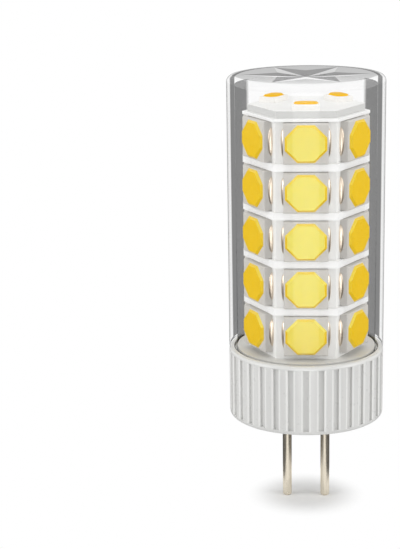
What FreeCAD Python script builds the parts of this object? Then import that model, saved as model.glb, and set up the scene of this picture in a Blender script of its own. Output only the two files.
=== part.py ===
"""Clear-cover LED corn bulb on a two-pin cap, modelled as an assembly of its real pieces.

Millimetres, +Z up. The origin is the middle of the base's underside, between the two contact
pins. The pins point down and are spaced along X, and LED face 1 looks along -Y.
"""
import FreeCAD
import Part
import Sketcher
import math
import os
from FreeCAD import Rotation, Vector

TOLERANCE = 1e-4
FACES = 6
TOP_LEDS = 3
ROUND_STEPS = 2

SIZES = (
    # Envelope
    ("bulb_diameter", 16.0),
    # Base
    ("base_floor", 1.6),
    ("base_rim", 0.5),
    ("base_seat_depth", 0.85),
    ("base_shoulder_radius", 0.35),
    ("base_foot_radius", 0.3),
    ("well_diameter", 12.0),
    ("ledge_width", 0.6),
    ("flute_count", 32),
    ("flute_width", 0.58),
    ("flute_depth", 0.3),
    ("flute_foot", 0.4),
    ("flute_head", 0.4),
    # Contact pins
    ("pin_diameter", 0.95),
    ("pin_shank_diameter", 0.7),
    ("pin_spacing", 4.0),
    ("pin_length", 9.55),
    ("pin_tip_bevel", 0.25),
    ("pin_tail", 0.7),
    ("pin_clearance", 0.03),
    # Driver
    ("driver_room", 1.6),
    ("driver_thickness", 0.8),
    ("driver_clearance", 0.1),
    ("rectifier_length", 4.0),
    ("rectifier_width", 2.6),
    ("rectifier_height", 1.5),
    ("chip_length", 2.9),
    ("chip_width", 1.6),
    ("chip_height", 1.1),
    ("capacitor_diameter", 2.8),
    ("capacitor_height", 1.9),
    ("component_bevel", 0.15),
    ("component_offset", 2.8),
    ("component_clearance", 0.5),
    ("link_pin_width", 0.5),
    ("link_pin_spacing", 8.8),
    # Cover
    ("cover_wall", 0.8),
    ("cover_top", 0.9),
    ("cover_rim_radius", 0.6),
    ("cover_head_room", 1.29),
    ("tongue_clearance", 0.05),
    ("adhesive_thickness", 0.5),
    ("facet_margin", 0.6),
    ("facet_notch_circle", 6.6),
    ("facet_apex_circle", 0.3),
    ("facet_depth", 0.25),
    # LED column
    ("disc_thickness", 0.9),
    ("disc_clearance", 0.05),
    ("column_clearance", 0.69),
    ("board_thickness", 0.8),
    ("tab_width", 1.8),
    ("tab_clearance", 0.05),
    ("row_count", 5),
    ("row_gap", 0.87),
    ("row_foot_gap", 0.525),
    # LEDs
    ("led_width", 4.45),
    ("led_height", 4.03),
    ("led_thickness", 0.92),
    ("led_bevel", 0.1),
    ("phosphor_margin", 0.15),
    ("phosphor_corner", 1.22),
    ("phosphor_rise", 0.22),
    ("phosphor_taper", 45.0),
    ("solder_margin", 0.59),
    ("solder_reach", 0.26),
    ("solder_rise", 0.42),
    # Rings
    ("ring_reach", 0.38),
    ("ring_clearance", 0.05),
    ("top_ring_height", 0.335),
    # Top of the column
    ("cap_inset", 0.09),
    ("cap_thickness", 0.72),
    ("top_led_width", 2.7),
    ("top_led_depth", 1.85),
    ("top_led_thickness", 0.55),
    ("top_led_edge_gap", 0.48),
    ("top_phosphor_margin", 0.15),
    ("top_phosphor_corner", 0.45),
    ("top_phosphor_rise", 0.15),
)

doc = FreeCAD.newDocument("corn_led_bulb")
sheet = doc.addObject("Spreadsheet::Sheet", "sizes")
for row, (alias, number) in enumerate(SIZES, start=1):
    sheet.set(f"A{row}", alias)
    sheet.set(f"B{row}", str(number))
    sheet.setAlias(f"B{row}", alias)
doc.recompute()


class Size:
    """A length, count or angle together with the sheet expression that gives it."""

    def __init__(self, text, value):
        self.text = text
        self.value = value

    def __add__(self, other):
        other = sized(other)
        return Size(f"({self.text} + {other.text})", self.value + other.value)

    def __sub__(self, other):
        other = sized(other)
        return Size(f"({self.text} - {other.text})", self.value - other.value)

    def __mul__(self, other):
        other = sized(other)
        return Size(f"({self.text} * {other.text})", self.value * other.value)

    def __truediv__(self, other):
        other = sized(other)
        return Size(f"({self.text} / {other.text})", self.value / other.value)

    def __neg__(self):
        return Size(f"(0 - {self.text})", -self.value)


def sized(number):
    """Return a Size for a plain number, and a Size as it is."""
    if isinstance(number, Size):
        return number
    return Size(f"{number:.9f}", float(number))


def cell(alias):
    """Return the sheet's value under an alias as a Size."""
    return Size(f"sizes.{alias}", float(sheet.get(alias)))


def root(size):
    """Return the square root of a Size."""
    return Size(f"sqrt({size.text})", math.sqrt(size.value))


ZERO = sized(0)

# Heights of the base, from the floor up through the driver to the rim
ledge_z = cell("base_floor") + cell("driver_room")
driver_top_z = ledge_z + cell("driver_thickness")
seat_z = driver_top_z + cell("capacitor_height") + cell("component_clearance")
base_top_z = seat_z + cell("base_seat_depth")
disc_top_z = seat_z + cell("disc_thickness")

# Radii of the base, the pins and the cover
bulb_radius = cell("bulb_diameter") / 2
rim_inner_radius = bulb_radius - cell("base_rim")
well_radius = cell("well_diameter") / 2
ledge_radius = well_radius - cell("ledge_width")
pin_radius = cell("pin_diameter") / 2
pin_shank_radius = cell("pin_shank_diameter") / 2
pin_hole_radius = pin_shank_radius + cell("pin_clearance")
pin_x = cell("pin_spacing") / 2
cover_inner_radius = bulb_radius - cell("cover_wall")
tongue_radius = rim_inner_radius - cell("tongue_clearance")

# The column's hexagon leaves its clearance between the LEDs' corners and the cover
led_half_width = cell("led_width") / 2
led_half_height = cell("led_height") / 2
led_corner_radius = cover_inner_radius - cell("column_clearance")
led_front = root(led_corner_radius * led_corner_radius - led_half_width * led_half_width)
column_apothem = led_front - cell("led_thickness")
column_side = column_apothem / math.cos(math.pi / FACES)
board_back = column_apothem - cell("board_thickness")

# Heights of the column and of the cover round it
row_pitch = cell("led_height") + cell("row_gap")
first_row_z = disc_top_z + cell("row_foot_gap") + led_half_height
last_row_z = first_row_z + row_pitch * (cell("row_count") - 1)
top_ring_z = last_row_z + led_half_height + cell("ring_clearance")
column_top_z = top_ring_z + cell("top_ring_height")
cap_top_z = column_top_z + cell("cap_thickness")
top_led_z = cap_top_z + cell("top_led_thickness")
cover_ceiling_z = top_led_z + cell("top_phosphor_rise") + cell("cover_head_room")
cover_top_z = cover_ceiling_z + cell("cover_top")
top_led_y = cell("top_led_edge_gap") + cell("top_led_depth") / 2 - column_apothem


def bind(item, prop, size):
    """Bind a property of a feature or sketch to the sheet."""
    item.setExpression(prop, size.text)


def origin_part(body, role):
    """Return one of a body's own origin planes or axes."""
    return next(item for item in body.Origin.OriginFeatures if item.Role == role)


def new_body(label, turn=0.0, lift=None, shift=None):
    """Start a body, turned about Z and lifted or shifted to its place."""
    body = doc.addObject("PartDesign::Body", label)
    body.Label = label
    body.AllowCompound = True
    body.Placement = FreeCAD.Placement(Vector(), Rotation(Vector(0, 0, 1), turn))
    if lift is not None:
        bind(body, "Placement.Base.z", lift)
    if shift is not None:
        bind(body, "Placement.Base.x", shift)
    return body


def new_sketch(body, name, role="XY_Plane", offset=ZERO):
    """Add a sketch on one of the body's origin planes, moved along the plane's normal."""
    sketch = body.newObject("Sketcher::SketchObject", name)
    sketch.AttachmentSupport = [(origin_part(body, role), "")]
    sketch.MapMode = "FlatFace"
    bind(sketch, "AttachmentOffset.Base.z", offset)
    return sketch


def fix_point(sketch, geometry, vertex, point):
    """Tie a sketch point to the sketch's origin by two bound distances."""
    for kind, size in zip(("DistanceX", "DistanceY"), point):
        constraint = Sketcher.Constraint(kind, -1, 1, geometry, vertex, size.value)
        index = sketch.addConstraint(constraint)
        bind(sketch, f"Constraints[{index}]", size)


def outline(sketch, points):
    """Draw a closed outline of straight lines through bound points."""
    points = [(sized(across), sized(up)) for across, up in points]
    corners = [Vector(across.value, up.value, 0) for across, up in points]
    first = sketch.GeometryCount
    count = len(corners)
    for number in range(count):
        line = Part.LineSegment(corners[number], corners[(number + 1) % count])
        sketch.addGeometry(line)
    for number in range(count):
        following = first + (number + 1) % count
        sketch.addConstraint(Sketcher.Constraint("Coincident", first + number, 2, following, 1))
    for number, point in enumerate(points):
        fix_point(sketch, first + number, 1, point)


def rectangle(sketch, width, height, middle=(ZERO, ZERO)):
    """Draw a rectangle round its middle."""
    left = middle[0] - width / 2
    right = middle[0] + width / 2
    low = middle[1] - height / 2
    high = middle[1] + height / 2
    outline(sketch, [(left, low), (right, low), (right, high), (left, high)])


def octagon(sketch, width, height, corner, middle=(ZERO, ZERO)):
    """Draw a rectangle with its four corners cut off at 45 degrees."""
    half_width = width / 2
    half_height = height / 2
    flat_x = half_width - corner
    flat_y = half_height - corner
    corners = [
        (flat_x, half_height),
        (half_width, flat_y),
        (half_width, -flat_y),
        (flat_x, -half_height),
        (-flat_x, -half_height),
        (-half_width, -flat_y),
        (-half_width, flat_y),
        (-flat_x, half_height),
    ]
    outline(sketch, [(middle[0] + across, middle[1] + up) for across, up in corners])


def quarter_round(centre, radius, start):
    """Return the points of a rounded corner, turned in a few straight steps from a start angle."""
    angles = [math.radians(start + 90 / ROUND_STEPS * step) for step in range(ROUND_STEPS + 1)]
    across, up = centre
    return [(across + radius * math.cos(angle), up + radius * math.sin(angle)) for angle in angles]


def hexagon(sketch, side):
    """Draw a regular hexagon with two corners on the X axis."""
    angles = [math.radians(360 / FACES * number) for number in range(FACES)]
    outline(sketch, [(side * math.cos(angle), side * math.sin(angle)) for angle in angles])


def star(sketch, tip, notch):
    """Draw a star with a tip at each corner of a hexagon and a notch between them."""
    corners = []
    for number in range(FACES):
        angle = math.radians(360 / FACES * number)
        between = angle + math.pi / FACES
        corners.append((tip * math.cos(angle), tip * math.sin(angle)))
        corners.append((notch * math.cos(between), notch * math.sin(between)))
    outline(sketch, corners)


def circle(sketch, radius, middle=(ZERO, ZERO)):
    """Draw a bound circle."""
    centre = Vector(middle[0].value, middle[1].value, 0)
    index = sketch.addGeometry(Part.Circle(centre, Vector(0, 0, 1), radius.value))
    constraint = sketch.addConstraint(Sketcher.Constraint("Radius", index, radius.value))
    bind(sketch, f"Constraints[{constraint}]", radius)
    fix_point(sketch, index, 3, middle)


def pad(body, name, sketch, length, downward=False):
    """Add material from a sketch along its normal."""
    feature = body.newObject("PartDesign::Pad", name)
    feature.Profile = sketch
    feature.Reversed = downward
    bind(feature, "Length", length)
    return feature


def pocket(body, name, sketch, length, along_normal=False):
    """Cut from a sketch and make sure that the cut took material away."""
    doc.recompute()
    before = body.Shape.Volume
    feature = body.newObject("PartDesign::Pocket", name)
    feature.Profile = sketch
    feature.Reversed = along_normal
    bind(feature, "Length", length)
    doc.recompute()
    if body.Shape.Volume > before - TOLERANCE:
        raise RuntimeError(f"{body.Label}: {name} cuts nothing")
    return feature


def revolution(body, name, sketch):
    """Turn a sketch all the way round its vertical axis."""
    feature = body.newObject("PartDesign::Revolution", name)
    feature.Profile = sketch
    feature.ReferenceAxis = (sketch, ["V_Axis"])
    feature.Angle = 360
    return feature


def chamfer(body, name, base, direction, size):
    """Bevel all edges of the flat face of a feature that lies furthest in a direction."""
    feature = body.newObject("PartDesign::Chamfer", name)
    feature.Base = (base, end_face(base, direction))
    bind(feature, "Size", size)
    return feature


def end_face(base, direction):
    """Name the flat face of a feature that lies furthest in a direction."""
    doc.recompute()
    faces = base.Shape.Faces
    reach = [face.CenterOfMass.dot(direction) for face in faces]
    return [f"Face{reach.index(max(reach)) + 1}"]


def polar_pattern(body, name, feature, count):
    """Repeat a feature round Z."""
    pattern = body.newObject("PartDesign::PolarPattern", name)
    pattern.Originals = [feature]
    pattern.Axis = (origin_part(body, "Z_Axis"), [""])
    pattern.Angle = 360
    bind(pattern, "Occurrences", sized(count))
    body.Tip = pattern
    return pattern


def row_pattern(body, name, feature, count):
    """Repeat a feature up the column at the LED rows' pitch."""
    pattern = body.newObject("PartDesign::LinearPattern", name)
    pattern.Originals = [feature]
    pattern.Direction = (origin_part(body, "Z_Axis"), [""])
    bind(pattern, "Length", row_pitch * (count - 1))
    bind(pattern, "Occurrences", count)
    body.Tip = pattern
    return pattern


def face_turn(number):
    """Return the turn about Z of a face of the column, counted from 1 at the front."""
    return 360.0 / FACES * (number - 1)


def make_base():
    """Ceramic cup: turned outside, fluted all round, with a stepped well and two pin holes."""
    body = new_body("base")
    section = new_sketch(body, "base_section", "XZ_Plane")
    foot = cell("base_foot_radius")
    shoulder = cell("base_shoulder_radius")
    outline(section, [
        (ZERO, ZERO),
        *quarter_round((bulb_radius - foot, foot), foot, -90),
        *quarter_round((bulb_radius - shoulder, base_top_z - shoulder), shoulder, 0),
        (rim_inner_radius, base_top_z),
        (rim_inner_radius, seat_z),
        (well_radius, seat_z),
        (well_radius, ledge_z),
        (ledge_radius, ledge_z),
        (ledge_radius, cell("base_floor")),
        (ZERO, cell("base_floor")),
    ])
    revolution(body, "base_turned", section)
    flute_height = base_top_z - cell("flute_foot") - cell("flute_head")
    flute_middle = cell("flute_foot") + flute_height / 2
    outlet = new_sketch(body, "flute_outline", "XZ_Plane", bulb_radius - cell("flute_depth"))
    rectangle(outlet, cell("flute_width"), flute_height, (ZERO, flute_middle))
    flute = pocket(body, "flute", outlet, cell("flute_depth") * 2, along_normal=True)
    polar_pattern(body, "flutes", flute, cell("flute_count"))
    holes = new_sketch(body, "pin_hole_circles")
    circle(holes, pin_hole_radius, (pin_x, ZERO))
    circle(holes, pin_hole_radius, (-pin_x, ZERO))
    pocket(body, "pin_holes", holes, cell("base_floor") * 2, along_normal=True)
    return body


def make_pin(label, shift):
    """Contact pin with a bevelled tip; its shank goes up through the base's floor and the driver board."""
    body = new_body(label, shift=shift)
    section = new_sketch(body, f"{label}_section", "XZ_Plane")
    tip = cell("pin_tip_bevel")
    tip_z = -cell("pin_length")
    tail_z = driver_top_z + cell("pin_tail")
    outline(section, [
        (ZERO, tip_z),
        (pin_radius - tip, tip_z),
        (pin_radius, tip_z + tip),
        (pin_radius, ZERO),
        (pin_shank_radius, ZERO),
        (pin_shank_radius, tail_z),
        (ZERO, tail_z),
    ])
    revolution(body, f"{label}_rod", section)
    return body


def make_cover():
    """Clear moulded tube: rounded rim, tongue at the foot and a shallow faceted star in the top."""
    body = new_body("cover")
    section = new_sketch(body, "cover_section", "XZ_Plane")
    tongue_z = seat_z + cell("adhesive_thickness")
    rim = cell("cover_rim_radius")
    outline(section, [
        (cover_inner_radius, tongue_z),
        (tongue_radius, tongue_z),
        (tongue_radius, base_top_z),
        (bulb_radius, base_top_z),
        *quarter_round((bulb_radius - rim, cover_top_z - rim), rim, 0),
        (ZERO, cover_top_z),
        (ZERO, cover_ceiling_z),
        (cover_inner_radius, cover_ceiling_z),
    ])
    revolution(body, "cover_turned", section)
    star_radius = cover_inner_radius - cell("facet_margin")
    notch_radius = cell("facet_notch_circle") / 2
    mouth = new_sketch(body, "facet_mouth", "XY_Plane", cover_top_z)
    star(mouth, star_radius, notch_radius)
    apex = new_sketch(body, "facet_apex", "XY_Plane", cover_top_z - cell("facet_depth"))
    apex_radius = cell("facet_apex_circle") / 2
    star(apex, apex_radius, apex_radius * notch_radius / star_radius)
    facets = body.newObject("PartDesign::SubtractiveLoft", "facets")
    facets.Profile = mouth
    facets.Sections = [apex]
    facets.Ruled = True
    return body


def make_adhesive():
    """Bead of adhesive between the cover's tongue and the base's seat."""
    body = new_body("cover_adhesive")
    section = new_sketch(body, "adhesive_section", "XZ_Plane")
    top = seat_z + cell("adhesive_thickness")
    outline(section, [
        (cover_inner_radius, seat_z),
        (tongue_radius, seat_z),
        (tongue_radius, top),
        (cover_inner_radius, top),
    ])
    revolution(body, "adhesive_ring", section)
    return body


def make_disc():
    """Round board that closes the base and takes the tabs of the six LED boards."""
    body = new_body("column_disc")
    plate = new_sketch(body, "disc_circle", "XY_Plane", seat_z)
    circle(plate, cover_inner_radius - cell("disc_clearance"))
    pad(body, "disc_plate", plate, cell("disc_thickness"))
    slot = new_sketch(body, "tab_slot_outline", "XY_Plane", disc_top_z)
    width = cell("tab_width") + cell("tab_clearance") * 2
    depth = cell("board_thickness") + cell("tab_clearance") * 2
    middle_y = cell("board_thickness") / 2 - column_apothem
    rectangle(slot, width, depth, (ZERO, middle_y))
    cut = pocket(body, "tab_slot", slot, cell("disc_thickness") * 2)
    polar_pattern(body, "tab_slots", cut, FACES)
    return body


def make_board(number):
    """LED board with mitred edges, and a tab that stands in the disc's slot."""
    label = f"led_board_{number}"
    body = new_body(label, face_turn(number))
    section = new_sketch(body, f"{label}_section", "XY_Plane", disc_top_z)
    outer = column_side / 2
    inner = outer - cell("board_thickness") * math.tan(math.pi / FACES)
    outline(section, [
        (-outer, -column_apothem),
        (outer, -column_apothem),
        (inner, -board_back),
        (-inner, -board_back),
    ])
    pad(body, f"{label}_plate", section, column_top_z - disc_top_z)
    foot = new_sketch(body, f"{label}_foot", "XY_Plane", disc_top_z)
    middle_y = cell("board_thickness") / 2 - column_apothem
    rectangle(foot, cell("tab_width"), cell("board_thickness"), (ZERO, middle_y))
    pad(body, f"{label}_tab", foot, cell("disc_thickness"), downward=True)
    return body


def make_rings():
    """White hexagonal rings: one between each two rows of LEDs, and one at the column's top."""
    body = new_body("board_rings")
    ring_z = first_row_z + led_half_height + cell("ring_clearance")
    outer_side = column_side + cell("ring_reach") / math.cos(math.pi / FACES)
    section = new_sketch(body, "ring_section", "XY_Plane", ring_z)
    hexagon(section, outer_side)
    hexagon(section, column_side)
    ring = pad(body, "ring", section, cell("row_gap") - cell("ring_clearance") * 2)
    row_pattern(body, "rings", ring, cell("row_count") - 1)
    top_section = new_sketch(body, "top_ring_section", "XY_Plane", top_ring_z)
    hexagon(top_section, outer_side)
    hexagon(top_section, column_side)
    pad(body, "top_ring", top_section, cell("top_ring_height"))
    return body


def make_led(face, row):
    """LED package: a low box with bevelled front edges, standing on its board."""
    label = f"led_{face}_{row}"
    body = new_body(label, face_turn(face), first_row_z + row_pitch * (row - 1))
    section = new_sketch(body, f"{label}_outline", "XZ_Plane", column_apothem)
    rectangle(section, cell("led_width"), cell("led_height"))
    box = pad(body, f"{label}_box", section, cell("led_thickness"))
    chamfer(body, f"{label}_bevel", box, Vector(0, -1, 0), cell("led_bevel"))
    return body


def make_phosphors(face):
    """Octagonal phosphor windows of one face's LEDs, each with sloping edges."""
    label = f"phosphor_{face}"
    body = new_body(label, face_turn(face), first_row_z)
    section = new_sketch(body, f"{label}_outline", "XZ_Plane", led_front)
    width = cell("led_width") - cell("phosphor_margin") * 2
    height = cell("led_height") - cell("phosphor_margin") * 2
    octagon(section, width, height, cell("phosphor_corner"))
    window = pad(body, f"{label}_window", section, cell("phosphor_rise"))
    bind(window, "TaperAngle", -cell("phosphor_taper"))
    row_pattern(body, f"{label}_rows", window, cell("row_count"))
    return body


def make_solder():
    """Solder joints: a bowed bead in each corner between an LED's side and its board."""
    body = new_body("solder_joints", lift=first_row_z)
    half_length = led_half_height - cell("solder_margin")
    crest_x = led_half_width + cell("solder_reach")
    section = new_sketch(body, "solder_outline", "XZ_Plane", column_apothem)
    outline(section, [
        (led_half_width, -half_length),
        (crest_x, -(half_length / 2)),
        (crest_x, half_length / 2),
        (led_half_width, half_length),
    ])
    bead = pad(body, "solder_bead", section, cell("solder_rise"))
    many = body.newObject("PartDesign::MultiTransform", "solder_beads")
    many.Originals = [bead]
    mirrored = body.newObject("PartDesign::Mirrored", "solder_sides")
    mirrored.MirrorPlane = (origin_part(body, "YZ_Plane"), [""])
    rows = body.newObject("PartDesign::LinearPattern", "solder_rows")
    rows.Direction = (origin_part(body, "Z_Axis"), [""])
    bind(rows, "Length", row_pitch * (cell("row_count") - 1))
    bind(rows, "Occurrences", cell("row_count"))
    turns = body.newObject("PartDesign::PolarPattern", "solder_faces")
    turns.Axis = (origin_part(body, "Z_Axis"), [""])
    turns.Angle = 360
    turns.Occurrences = FACES
    many.Transformations = [mirrored, rows, turns]
    body.Tip = many
    return body


def make_top_board():
    """Hexagonal board that closes the column."""
    body = new_body("top_board")
    section = new_sketch(body, "cap_outline", "XY_Plane", column_top_z)
    hexagon(section, column_side - cell("cap_inset"))
    pad(body, "cap_plate", section, cell("cap_thickness"))
    return body


def make_top_led(number):
    """Smaller LED package that lies on the top board."""
    label = f"top_led_{number}"
    body = new_body(label, 360.0 / TOP_LEDS * (number - 1))
    section = new_sketch(body, f"{label}_outline", "XY_Plane", cap_top_z)
    rectangle(section, cell("top_led_width"), cell("top_led_depth"), (ZERO, top_led_y))
    box = pad(body, f"{label}_box", section, cell("top_led_thickness"))
    chamfer(body, f"{label}_bevel", box, Vector(0, 0, 1), cell("led_bevel"))
    return body


def make_top_phosphors():
    """Octagonal phosphor windows of the three upper LEDs."""
    body = new_body("top_phosphors")
    section = new_sketch(body, "top_phosphor_outline", "XY_Plane", top_led_z)
    width = cell("top_led_width") - cell("top_phosphor_margin") * 2
    depth = cell("top_led_depth") - cell("top_phosphor_margin") * 2
    octagon(section, width, depth, cell("top_phosphor_corner"), (ZERO, top_led_y))
    window = pad(body, "top_phosphor_window", section, cell("top_phosphor_rise"))
    bind(window, "TaperAngle", -cell("phosphor_taper"))
    polar_pattern(body, "top_phosphor_turns", window, TOP_LEDS)
    return body


def make_driver_board():
    """Round driver board on the base's ledge, with a hole for each pin."""
    body = new_body("driver_board")
    plate = new_sketch(body, "driver_circle", "XY_Plane", ledge_z)
    circle(plate, well_radius - cell("driver_clearance"))
    circle(plate, pin_hole_radius, (pin_x, ZERO))
    circle(plate, pin_hole_radius, (-pin_x, ZERO))
    pad(body, "driver_plate", plate, cell("driver_thickness"))
    return body


def make_component(label, length, width, height, middle):
    """Moulded component with bevelled upper edges, standing on the driver board."""
    body = new_body(label)
    section = new_sketch(body, f"{label}_outline", "XY_Plane", driver_top_z)
    rectangle(section, length, width, middle)
    box = pad(body, f"{label}_box", section, height)
    chamfer(body, f"{label}_bevel", box, Vector(0, 0, 1), cell("component_bevel"))
    return body


def make_capacitor():
    """Small can capacitor, standing on the driver board."""
    body = new_body("capacitor")
    section = new_sketch(body, "capacitor_circle", "XY_Plane", driver_top_z)
    radius = cell("capacitor_diameter") / 2
    circle(section, radius, (cell("component_offset") / math.sqrt(2), -cell("component_offset")))
    pad(body, "capacitor_can", section, cell("capacitor_height"))
    return body


def make_link_pins():
    """Two square header pins from the driver board up to the disc."""
    body = new_body("link_pins")
    section = new_sketch(body, "link_pin_squares", "XY_Plane", driver_top_z)
    side = cell("link_pin_width")
    reach = cell("link_pin_spacing") / 2
    rectangle(section, side, side, (reach, ZERO))
    rectangle(section, side, side, (-reach, ZERO))
    pad(body, "link_pin_rods", section, seat_z - driver_top_z)
    return body


def make_all():
    """Make every piece and return the bodies in assembly order."""
    offset = cell("component_offset")
    rows = range(1, int(cell("row_count").value) + 1)
    faces = range(1, FACES + 1)
    bodies = [make_base(), make_pin("contact_pin_left", -pin_x), make_pin("contact_pin_right", pin_x)]
    bodies.append(make_driver_board())
    bodies.append(make_component(
        "rectifier", cell("rectifier_length"), cell("rectifier_width"), cell("rectifier_height"),
        (ZERO, offset)))
    bodies.append(make_component(
        "driver_chip", cell("chip_length"), cell("chip_width"), cell("chip_height"),
        (-(offset / math.sqrt(2)), -offset)))
    bodies.append(make_capacitor())
    bodies.append(make_link_pins())
    bodies.append(make_disc())
    bodies.extend(make_board(face) for face in faces)
    bodies.append(make_rings())
    bodies.extend(make_led(face, row) for face in faces for row in rows)
    bodies.extend(make_phosphors(face) for face in faces)
    bodies.append(make_solder())
    bodies.append(make_top_board())
    bodies.extend(make_top_led(number) for number in range(1, TOP_LEDS + 1))
    bodies.append(make_top_phosphors())
    bodies.append(make_adhesive())
    bodies.append(make_cover())
    return bodies


def check(bodies):
    """Stop if any object failed or any piece has no sound solid."""
    failed = [item.Label for item in doc.Objects if {"Invalid", "Error"} & set(item.State)]
    unsound = [body.Label for body in bodies if body.Shape.isNull() or not body.Shape.isValid()]
    if failed or unsound:
        raise RuntimeError(f"failed objects: {failed}, unsound shapes: {unsound}")


pieces = make_all()
doc.recompute()
check(pieces)
os.makedirs("parts", exist_ok=True)
for piece in pieces:
    piece.Shape.exportStep(f"parts/{piece.Label}.step")
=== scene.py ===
import math

import bmesh
import bpy
from bmesh.types import BMEdge, BMFace, BMVert
from mathutils import Matrix, Vector


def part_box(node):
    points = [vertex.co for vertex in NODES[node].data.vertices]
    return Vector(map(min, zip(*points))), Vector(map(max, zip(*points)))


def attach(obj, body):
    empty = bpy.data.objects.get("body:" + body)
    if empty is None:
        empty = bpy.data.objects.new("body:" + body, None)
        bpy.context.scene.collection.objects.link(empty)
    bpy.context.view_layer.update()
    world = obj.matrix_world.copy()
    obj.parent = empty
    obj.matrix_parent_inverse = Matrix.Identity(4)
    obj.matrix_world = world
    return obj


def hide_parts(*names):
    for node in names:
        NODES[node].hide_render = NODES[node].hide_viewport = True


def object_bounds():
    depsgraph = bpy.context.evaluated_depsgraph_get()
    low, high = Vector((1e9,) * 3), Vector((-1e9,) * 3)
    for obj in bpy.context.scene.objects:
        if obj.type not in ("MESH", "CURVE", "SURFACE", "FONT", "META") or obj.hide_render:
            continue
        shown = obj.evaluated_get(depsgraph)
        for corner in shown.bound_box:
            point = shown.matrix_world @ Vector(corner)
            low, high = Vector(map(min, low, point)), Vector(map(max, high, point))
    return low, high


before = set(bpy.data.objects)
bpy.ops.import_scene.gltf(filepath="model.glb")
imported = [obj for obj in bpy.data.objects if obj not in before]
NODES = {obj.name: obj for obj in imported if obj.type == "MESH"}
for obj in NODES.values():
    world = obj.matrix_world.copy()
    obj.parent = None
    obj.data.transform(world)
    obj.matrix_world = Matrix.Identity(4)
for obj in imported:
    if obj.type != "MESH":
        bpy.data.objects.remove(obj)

bl_info = {
    "name": "LED Corn Bulb",
    "version": (1, 0, 0),
    "blender": (4, 5, 0),
    "location": "View3D > Sidebar > Corn Bulb",
    "description": "Dresses a bi-pin LED corn bulb: fluted ceramic base, clear cover, LED column and studio",
    "category": "Object",
}

MM = 0.001
UP = (0.0, 0.0, 1.0)
CENTRE = (0.0, 0.0, 0.0)
WHITE = (1.0, 1.0, 1.0, 1.0)
# Points closer together than this are one point
MERGE = 0.002 * MM

# The column has six faces, each with five rows of LEDs
FACES = 6
ROWS = 5

# Places of the materials on the base and on the cover
# The base's second material is a painted highlight on the lips of its grooves
GLAZE, PAINTED_LIP_HIGHLIGHT = range(2)
TUBE, WALL, FACET, LAND = range(4)

# Nearly all the values of a noise texture lie between these two
NOISE_LOW = 0.3
NOISE_HIGH = 0.7
# Height of the grain in a finish
GRAIN_HEIGHT = 0.02 * MM
# A board's sides are grey below the first depth under its upper face, and white above the second:
# partly a bare cut edge, partly painted shade
EDGE_GREY_FULL = 0.06 * MM
EDGE_GREY_GONE = 0.01 * MM
# Spacing of the flow marks in the moulded cover, in millimetres, and how steeply its mirroring rises
FLOW_MARKS = 4.0
MIRROR_POWER = 5.0

# The floor's half width in metres, the size of its faint patches in millimetres, and how far they drift
FLOOR_REACH = 3.0
FLOOR_PATCH = 40.0
FLOOR_DRIFT = 0.01
# The bulb's shadow shows on the floor inside the first radius and fades to white at the second
SHADOW_CORE = 2 * MM
SHADOW_END = 6.5 * MM
# Share of white over the shadow at its darkest
SHADOW_VEIL = 0.05
# The dark cards reach this far, keep this far from the bulb's axis, and lie this high above the floor
CARD_REACH = 400 * MM
CARD_GAP = 7 * MM
CARD_LIFT = 0.1 * MM
# The width of the camera's sensor in millimetres, and how near it begins to see
SENSOR_WIDTH = 36.0
CLIP_START = 5 * MM

CAD_LOW, CAD_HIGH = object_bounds()
BASE_LOW, BASE_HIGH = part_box("base")
COVER_LOW, COVER_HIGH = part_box("cover")
PIN_LOW, PIN_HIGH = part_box("contact_pin_right")
LED_LOW, LED_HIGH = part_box("led_1_1")
LAST_LED_LOW, LAST_LED_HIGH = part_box("led_1_5")
BEADS_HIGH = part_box("solder_joints")[1]
CAP_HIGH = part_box("top_board")[1]


def linear(code):
    """Turn an sRGB hex colour into linear red, green and blue."""
    shares = [int(code[place:place + 2], 16) / 255 for place in (1, 3, 5)]
    return tuple(
        share / 12.92 if share <= 0.04045 else ((share + 0.055) / 1.055) ** 2.4 for share in shares)


def length(name, description, millimetres):
    """Describe a size that a user may change."""
    return bpy.props.FloatProperty(
        name=name, description=description, default=millimetres * MM,
        precision=5, subtype="DISTANCE", unit="LENGTH")


def angle(name, description, degrees):
    """Describe an angle that a user may change."""
    return bpy.props.FloatProperty(
        name=name, description=description, default=math.radians(degrees),
        subtype="ANGLE", unit="ROTATION")


def brightness(name, description, amount):
    """Describe how bright a light looks, where 1 is white, for a user to change."""
    return bpy.props.FloatProperty(name=name, description=description, default=amount, min=0.0)


def colour(name, description, code):
    """Describe a colour that a user may change."""
    return bpy.props.FloatVectorProperty(
        name=name, description=description, default=linear(code),
        size=3, min=0.0, max=1.0, subtype="COLOR")


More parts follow.
